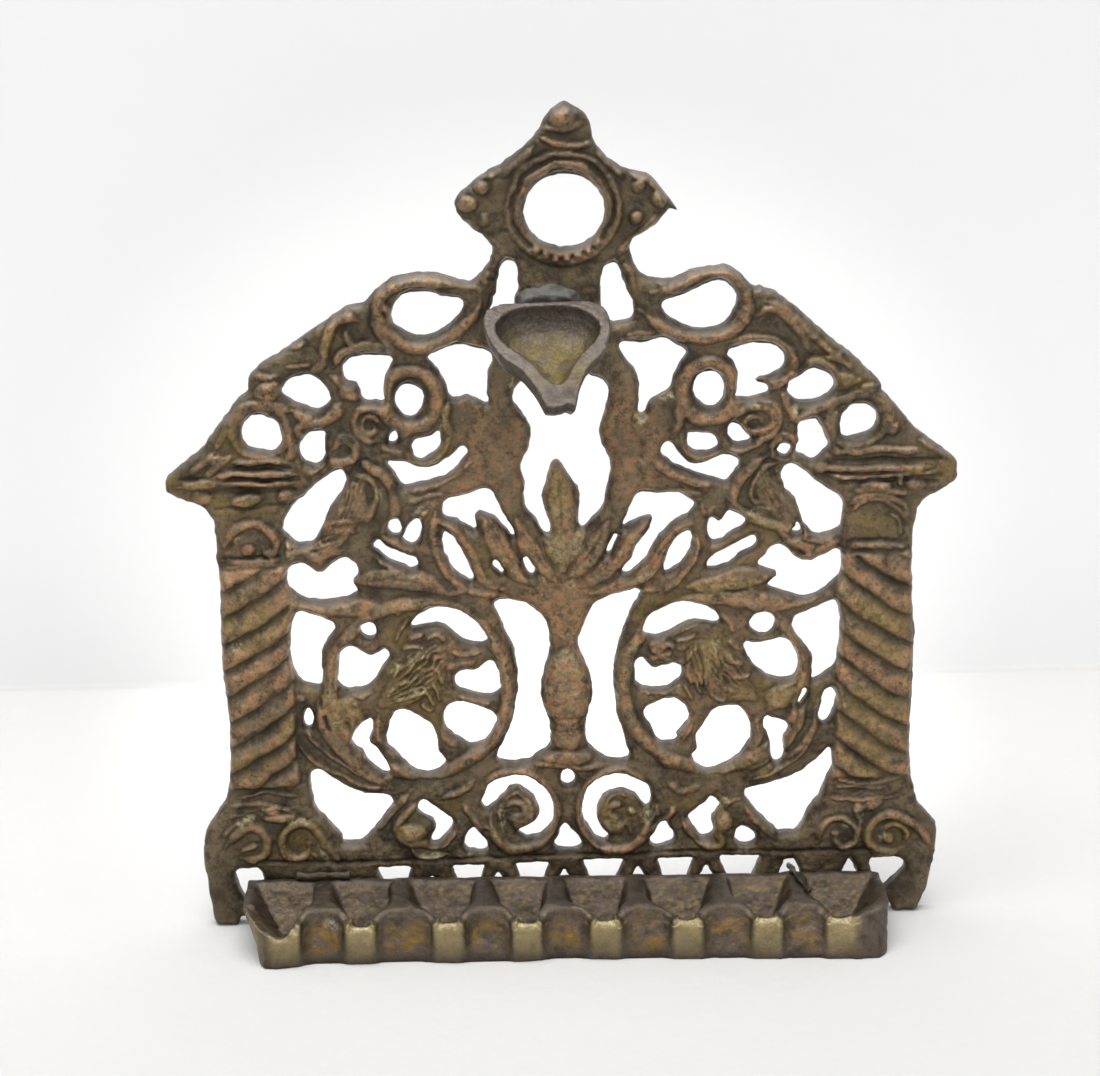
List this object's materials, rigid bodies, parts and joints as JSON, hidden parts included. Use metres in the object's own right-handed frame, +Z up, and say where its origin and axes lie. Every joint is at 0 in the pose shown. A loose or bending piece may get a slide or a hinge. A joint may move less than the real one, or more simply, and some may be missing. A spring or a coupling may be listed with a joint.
{
  "type": "hanukkah lamp",
  "caption": "Cast metal oil lamp for the festival of Hanukkah: a pierced, gabled back plate with a hanging ring, a row of oil fonts along its foot and a heart-shaped servant font.",
  "frame": {"origin": "centre of the bounding box, on the plane that the feet and the tray stand on", "axes": "+Z up, +X to the right as seen from the front; the lamp faces -Y and its flat back is towards +Y"},
  "size_m": [0.17, 0.0338, 0.184],
  "materials": {
    "plate_metal": "aged cast brass, dull, rubbed on the relief",
    "tray_metal": "aged cast brass, pale where the spouts are rubbed",
    "font_metal": "aged cast brass, olive inside the bowl",
    "solder": "grey lead-tin solder, dull and uneven",
    "wire_metal": "drawn brass wire, tarnished"
  },
  "bodies": {
    "root": {"backplate": "plate_metal", "oil_tray": "tray_metal", "shamash_font": "font_metal", "shamash_solder": "solder", "tray_strap": "wire_metal", "rim_bead": "solder"}
  },
  "joints": []
}
